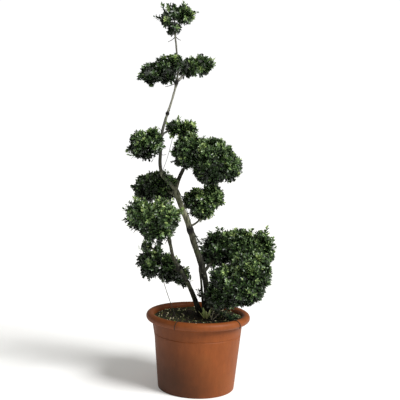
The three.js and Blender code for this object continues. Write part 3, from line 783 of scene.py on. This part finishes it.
def bowed(starts, ends, bend):
    """Paths of four points from starts to ends, each bowed at its middle by its own bend."""
    share = np.array((0, 0.33, 0.67, 1))[None, :, None]
    straight = starts[:, None] + (ends - starts)[:, None] * share
    return straight + bend[:, None] * 4 * share * (1 - share)


def tapered(paths, thick, thin):
    """Strands for rods: paths that taper from one radius to another."""
    return [(path, np.linspace(thick, thin, len(path))) for path in paths]


def leaves_on(starts, tips, rng, tone, pairs=LEAF_PAIRS, size=1.0):
    """Leaves in crossed pairs down each shoot from its tip: their frames, places and materials."""
    count = len(starts)
    axis = unit(tips - starts)
    side, other = across(axis)
    first_turn = rng.uniform(0, 2 * math.pi, count)
    frames, places, picks = [], [], []
    for pair, (growth, splay, lighter) in enumerate(pairs):
        back = pair * NODE_SPACING * rng.uniform(*NODE_UNEVENNESS, count)
        node = tips - axis * back[:, None]
        grown = growth * size
        for half in (0, math.pi):
            turn = first_turn + pair * math.pi / 2 + half + rng.normal(0, TURN_JITTER, count)
            outward = side * np.cos(turn)[:, None] + other * np.sin(turn)[:, None]
            spread = (LEAF_SPREAD * splay + rng.normal(0, SPREAD_JITTER, count))[:, None]
            along = axis * np.cos(spread) + outward * np.sin(spread)
            face = axis * np.sin(spread) - outward * np.cos(spread) + (0, 0, LEAF_LIFT)
            face += rng.normal(0, FACE_JITTER, (count, 3))
            face = unit(face - along * (face * along).sum(1, keepdims=True))
            length = (LEAF_LENGTH * grown * rng.uniform(*LEAF_UNEVENNESS, count))[:, None]
            frames.append(np.stack([np.cross(along, face), along, face], 2) * length[:, :, None])
            places.append(node)
            # Pairs further from the tip are darker: older leaves, and painted shade deeper in the pad.
            shade = tone + lighter + rng.normal(0, LEAF_TONE_JITTER, count)
            picks.append(np.clip(np.round(shade), 0, len(LEAF_COLOURS) - 1))
    return np.concatenate(frames), np.concatenate(places), np.concatenate(picks)


def clear_of_limbs(frames, places):
    """True for each leaf whose middle stays off every limb's bark."""
    middles = places + frames[:, :, 1] / 2
    free = np.ones(len(places), bool)
    for point in limb_points[::2]:
        free &= ((middles - point[:3]) ** 2).sum(1) > (point[3] + LEAF_CLEARANCE) ** 2
    return free


def hollows(points):
    """How far the skin dips at each point, in metres: dents some centimetres across, as hand shears leave."""
    return DENT_DEPTH * np.array([noise.noise(Vector(p / DENT_WIDTH)) for p in points])


leaf_template = box_leaf()
for number, (pad, (foot, lobes, stray, yellow)) in enumerate(PADS.items()):
    rng = np.random.default_rng(11 + number)
    foot = np.array(foot)
    boughs, branches, starts, tips, outwards, shoot_tones = [], [], [], [], [], []
    for centre, reach, fullness in lobes:
        centre, reach = np.array(centre), np.array(reach)
        # A bough runs to the lobe's middle, and branches fan out from its last third.
        run = math.dist(foot[:2], centre[:2])
        bough = bowed(foot[None], centre[None], np.array([[0, 0, BOUGH_ARCH * run]]))
        boughs.append(bough)
        skin = 4 * math.pi * np.mean(reach) ** 2
        ways = spread_round(int(skin / BRANCH_SPACING**2), rng.uniform(0, 6))
        ends = centre + ways * reach * BRANCH_REACH * rng.uniform(*BRANCH_UNEVENNESS, (len(ways), 1))
        roots = bough[0, 2] + (centre - bough[0, 2]) * rng.uniform(0, 1, (len(ways), 1))
        branch = bowed(roots, ends, rng.normal(0, BRANCH_BEND, (len(ways), 3)) + (0, 0, BRANCH_ARCH))
        branches.append(branch)
        # Tufts are spread evenly over the skin, each at its own depth.
        count = int(fullness * skin / TUFT_SPACING**2)
        tufts = unit(spread_round(count, rng.uniform(0, 6)) + rng.normal(0, TUFT_JITTER, (count, 3)))
        depth = SKIN_DEPTH + rng.normal(0, TUFT_UNEVENNESS, count) + hollows(centre + tufts * reach)
        inner = rng.uniform(0, 1, count) > 1 - INNER_SHARE * (1 - fullness)
        depth[inner] = rng.uniform(*INNER_DEPTH, inner.sum()) * min(reach)
        heads = centre + tufts * (reach - depth[:, None])
        # Its shoots end close round it and are clipped at the skin. None ends inside another lobe.
        of = np.repeat(np.arange(count), TUFT_SHOOTS)
        ways = tufts[of]
        skin_tips = heads[of] + rng.normal(0, TUFT_SPREAD, ways.shape)
        over = np.linalg.norm((skin_tips - centre) / (reach - depth[of, None]), axis=1)[:, None]
        clipped = np.maximum(over + rng.normal(0, SKIN_ROUGHNESS, over.shape), 1)
        skin_tips = centre + (skin_tips - centre) / clipped
        buried = np.zeros(len(ways), bool)
        for other_centre, other_reach, _ in lobes:
            if other_centre != tuple(centre):
                buried |= (((skin_tips - other_centre) / other_reach) ** 2).sum(1) < BURIED
        strays = rng.uniform(0, 1, len(ways)) < STRAY_SHARE
        reached = rng.uniform(*STRAY_REACH, len(ways)) * stray * strays
        skin_tips += unit(ways + (0, 0, SHOOT_LIFT)) * reached[:, None]
        skin_tips, of, ways, strays = (part[~buried] for part in (skin_tips, of, ways, strays))
        outwards.append(ways)
        # Each shoot starts on the nearest branch, or on a twig that runs out from it.
        nearest = ((heads[:, None] - ends[None]) ** 2).sum(2).argmin(1)
        along_branch = rng.uniform(0, 1, (count, 1))
        hold = (branch[nearest, 2] + (branch[nearest, 3] - branch[nearest, 2]) * along_branch)[of]
        base = skin_tips - unit(unit(skin_tips - hold) + (0, 0, SHOOT_LIFT)) * SHOOT_LENGTH
        near = np.linalg.norm(skin_tips - hold, axis=1) < SHOOT_LENGTH
        starts.append(np.where(near[:, None], hold, base))
        tips.append(skin_tips)
        branches.append(bowed(hold[~near], base[~near], rng.normal(0, TWIG_BEND, ((~near).sum(), 3))))
        shade_of_tuft = rng.normal(0, TUFT_TONE_JITTER, count)
        shoot_tones.append(shade_of_tuft[of] + STRAY_TONE * strays)
    starts, tips = np.concatenate(starts), np.concatenate(tips)
    # The light on a shoot comes from its place in the whole pad and in its own lobe.
    middle = np.mean([lobe[0] for lobe in lobes], 0)
    outward = PAD_LIGHT * unit(tips - middle) + (1 - PAD_LIGHT) * np.concatenate(outwards)
    tone = DEEP_TONE + SUN_TONE * (outward @ SUNNY_SIDE) + np.concatenate(shoot_tones)
    tone += YELLOW_TONE * yellow + rng.normal(0, SHOOT_TONE_JITTER, len(tips))
    new_share = NEW_GROWTH_SHARE + YELLOW_GROWTH_SHARE * max(yellow, 0)
    tone += (rng.uniform(0, 1, len(tips)) < new_share) * NEW_GROWTH_TONE
    frames, places, picks = leaves_on(starts, tips, rng, tone)
    free = clear_of_limbs(frames, places)
    mesh = joined(pad + "_leaves", leaf_template, frames[free], places[free], picks[free])
    piece(pad + "_leaves", mesh, "foliage", leaf_finishes, pad)
    shoots = bowed(starts, tips, rng.normal(0, SHOOT_BEND, starts.shape))
    strands = tapered(np.concatenate(boughs), *BOUGH_RADII)
    strands += tapered(np.concatenate(branches), *BRANCH_RADII)
    strands += tapered(shoots, *SHOOT_RADII)
    piece(pad + "_twigs", rods(pad + "_twigs", strands, 0), "bark", [box_bark])

# ---- Side shoots and weeds ----
# Leafy shoots that the shears have missed, on the stems, above all below the leader's bend, and at the pads'
# edges; a pale basal shoot, lightened further as painted light; and low weeds with broad soft leaves that
# root in the compost at the right.
# Each side shoot: where it starts and ends, and how light its leaves are.
SIDE_SHOOTS = [
    ((-0.046, 0, 0.886), (-0.028, -0.008, 0.872), 2), ((-0.03, -0.006, 0.866), (-0.004, -0.01, 0.846), 2),
    ((-0.17, -0.052, 0.885), (-0.148, -0.06, 0.922), 3), ((-0.174, -0.05, 0.88), (-0.156, -0.062, 0.9), 2),
    ((-0.052, -0.004, 0.6), (-0.052, -0.008, 0.64), 1), ((-0.052, -0.008, 0.636), (-0.07, -0.01, 0.676), 1),
    ((0.032, 0, 0.552), (-0.006, -0.006, 0.564), 1), ((0.04, 0.006, 0.51), (0.004, -0.01, 0.532), 1),
    ((0.04, 0.006, 0.53), (0.0, -0.01, 0.55), 1), ((-0.012, -0.006, 0.49), (-0.03, -0.01, 0.53), 1),
    ((-0.36, -0.03, 1.325), (-0.402, -0.032, 1.34), 3), ((-0.396, -0.032, 1.336), (-0.432, -0.034, 1.35), 4),
    ((-0.356, -0.03, 1.318), (-0.39, -0.03, 1.326), 3), ((-0.386, -0.03, 1.326), (-0.42, -0.03, 1.33), 3),
    ((-0.242, -0.004, 2.092), (-0.274, -0.006, 2.1), 2), ((-0.268, -0.006, 2.098), (-0.298, -0.006, 2.11), 2),
    ((-0.236, -0.004, 2.126), (-0.252, -0.006, 2.154), 2),
    ((-0.25, -0.006, 2.15), (-0.262, -0.006, 2.178), 3),
    ((-0.15, 0, 2.156), (-0.144, -0.004, 2.19), 3), ((-0.1, 0, 2.13), (-0.066, -0.002, 2.142), 3),
    ((-0.222, -0.012, 1.212), (-0.2, -0.02, 1.236), 3), ((-0.205, -0.012, 1.196), (-0.18, -0.02, 1.218), 4),
    ((-0.188, -0.01, 1.18), (-0.162, -0.018, 1.2), 3), ((-0.172, -0.008, 1.162), (-0.152, -0.016, 1.184), 2),
    ((-0.236, -0.014, 1.224), (-0.214, -0.026, 1.202), 2),
    ((-0.212, -0.014, 1.2), (-0.188, -0.026, 1.176), 3),
    ((-0.022, -0.004, 0.842), (0.002, -0.012, 0.834), 1), ((-0.016, -0.006, 0.818), (0.01, -0.014, 0.808), 1),
    ((-0.406, -0.124, 1.012), (-0.434, -0.126, 1.032), 3),
    ((-0.402, -0.124, 0.98), (-0.43, -0.126, 0.968), 2),
]
SIDE_TWIG_RADII = (0.0013, 0.0007)
SIDE_LEAF_SIZE = 0.95
# Rosettes of leaves on the compost: where they root, their number of leaves, the rise of the outermost and
# the innermost leaf in degrees, the leaves' length, how narrow they are beside a box leaf, and their colours.
ROSETTES = {
    # The basal shoot's colours are lighter than its own pale green: painted light, where it stands in the
    # pad's shade.
    "basal_shoot_leaves": ([(0.05, -0.092), (0.036, -0.084)], 9, (44, 84), (0.036, 0.068), 0.5,
                           {"pale basal leaf": "e4eeaa", "basal leaf": "c9dc8e"}),
    "weed_leaves": ([(0.172, -0.05), (0.215, -0.02), (0.14, 0.02), (0.188, -0.085)], 9, (18, 58),
                    (0.026, 0.042), 1, {"dark weed leaf": "2f4a33", "pale weed leaf": "6f8b5c"}),
}
ROSETTE_RADIUS = 0.004
ROSETTE_RISE = 0.002
DEAD_STALKS = [((0.075, -0.1, 0.412), (0.086, -0.104, 0.468)), ((0.078, -0.1, 0.412), (0.064, -0.102, 0.46)),
               ((0.08, -0.098, 0.412), (0.118, -0.106, 0.452))]
STALK_RADII = (0.0026, 0.0014)
STALK_ARCH = (0, 0, 0.003)
shoot_rng = np.random.default_rng(41)
starts, tips, tone = (np.array(part, float) for part in zip(*SIDE_SHOOTS))
sprigs = leaves_on(starts, tips, shoot_rng, tone, LEAF_PAIRS[:4], SIDE_LEAF_SIZE)
mesh = joined("side_shoot_leaves", leaf_template, *sprigs)
piece("side_shoot_leaves", mesh, "foliage", leaf_finishes)
paths = bowed(starts, tips, np.zeros(starts.shape))
twigs = rods("side_shoot_twigs", tapered(paths, *SIDE_TWIG_RADII), 1)
piece("side_shoot_twigs", twigs, "bark", [box_bark])

for name, (roots, leaves, rises, lengths, narrow, colours) in ROSETTES.items():
    frames, places = [], []
    for x, y in roots:
        ground = compost_height(math.hypot(x, y)) + ROSETTE_RISE
        for leaf in range(leaves):
            turn = leaf * GOLDEN_TURN
            rise = math.radians(rises[0] + (rises[1] - rises[0]) * leaf / leaves)
            out = Vector((math.cos(turn), math.sin(turn), 0))
            side = Vector((-math.sin(turn), math.cos(turn), 0))
            along = out * math.cos(rise) + Vector((0, 0, math.sin(rise)))
            length = shoot_rng.uniform(*lengths)
            frames.append(np.array([-narrow * side, along, -side.cross(along)]).T * length)
            places.append(Vector((x, y, ground)) + ROSETTE_RADIUS * out)
    picks = shoot_rng.integers(0, len(colours), len(places))
    mesh = joined(name, leaf_template, np.array(frames), np.array(places), picks)
    piece(name, mesh, "foliage", [plain(*finish, 0.5) for finish in colours.items()])
starts, tips = (np.array(part, float) for part in zip(*DEAD_STALKS))
paths = bowed(starts, tips, np.zeros(starts.shape) + STALK_ARCH)
stalks = rods("dead_stalks", tapered(paths, *STALK_RADII), 1)
# Their pale grey is lighter than their own colour: painted light, where they stand in the pad's shade.
piece("dead_stalks", stalks, "foliage", [plain("dead stalk with painted light", "c4c1ae", 0.8)])

# ---- Training strings ----
# Thin dark olive garden twine, drawn tight down the tree and to the pot, with two loops of it tied round the
# rim. It holds the left side down and the trunk in its lean. The leader's string is thinner.
TWINE_RADIUS = 0.0019
THIN_TWINE_RADIUS = 0.0012
TWINE_STEP = 0.01
# Each string: its radius, and its corners from the top down.
STRINGS = {
    "training_string_left": (TWINE_RADIUS, [
        (-0.224, 0.05, 0.64), (-0.168, -0.14, 0.545), (-0.112, -0.272, 0.448)]),
    "training_string_trunk": (TWINE_RADIUS, [
        (-0.136, -0.024, 1.14), (-0.103, -0.026, 1.073), (-0.071, -0.026, 0.988), (-0.042, -0.026, 0.909),
        (-0.008, -0.03, 0.85)]),
    "training_string_leader": (THIN_TWINE_RADIUS, [
        (-0.176, -0.008, 1.452), (-0.206, -0.014, 1.32), (-0.232, -0.022, 1.24)]),
}
# Where each loop crosses the rim, in degrees, and how far it slips sideways from its outer to its inner end.
RIM_TIES = {"rim_tie_left": (-114, (-0.008, 0.012)), "rim_tie_right": (-41, (0.02, -0.018))}


def garden_twine():
    """Twisted polypropylene twine, dark olive and a little hairy. Its strands are under 1 mm thick; they are
    drawn 2.5 mm thick, to show."""
    made, shader, place = surface("twisted garden twine", 0.7, 0.3)
    lay = add(made, "TexNoise", {"Vector": place, "Scale": per_metre(2.5), "Detail": 2})
    colour = add(made, "MixRGB", {"Fac": lay, "Color1": linear("0e0d08"), "Color2": linear("333124")})
    dress(made, shader, colour, lay, 0.0004)
    return made


twine = garden_twine()
for name, (radius, corners) in STRINGS.items():
    line = smooth_line(corners, TWINE_STEP)[0]
    mesh = rods(name, [(line, np.full(len(line), radius))], 2)
    piece(name, mesh, "bark", [twine])
for name, (degrees, slips) in RIM_TIES.items():
    turn = math.radians(degrees)
    loop = arc(ROLL_CENTRE, ROLL_RADIUS + TWINE_RADIUS, -60, 170, 40)
    lean = np.linspace(*slips, len(loop))
    line = [(r * math.cos(turn) - slip * math.sin(turn), r * math.sin(turn) + slip * math.cos(turn), z)
            for (r, z), slip in zip(loop, lean)]
    mesh = rods(name, [(np.array(line), np.full(len(line), TWINE_RADIUS))], 2)
    piece(name, mesh, "bark", [twine])

# ---- Studio ----
# A plain floor of backdrop paper lit from below, under a wide soft lamp from the front right, in an even
# pale room.
floor_shape = bmesh.new()
bmesh.ops.create_circle(floor_shape, cap_ends=True, segments=96, radius=40)
floor = placed("floor", mesh_of(floor_shape, "floor"))
paper = plain("white backdrop paper", "fbfbfa", 0.9, 0.1)
glow = paper.node_tree.nodes["Principled BSDF"].inputs
glow["Emission Color"].default_value = (1, 1, 1, 1)
glow["Emission Strength"].default_value = 0.15
floor.data.materials.append(paper)

lamp = bpy.data.lights.new("key_lamp", "SUN")
lamp.energy = 3.7
lamp.angle = math.radians(26)
key = placed("key_lamp", lamp)
key.rotation_euler = Vector((0.82, -0.52, 0.85)).to_track_quat("Z", "Y").to_euler()

room = bpy.data.worlds.new("pale room")
room.use_nodes = True
bpy.context.scene.world = room
walls = room.node_tree.nodes["Background"]
walls.inputs["Color"].default_value = linear("fbf9f2")
walls.inputs["Strength"].default_value = 0.3
backdrop = add(room, "Background", {"Color": (1, 1, 1, 1), "Strength": 1.05})
seen = add(room, "LightPath").outputs["Is Camera Ray"]
both = add(room, "MixShader", {0: seen, 1: walls, 2: backdrop})
room.node_tree.links.new(both.outputs[0], room.node_tree.nodes["World Output"].inputs["Surface"])
bpy.context.scene.view_settings.view_transform = "Standard"
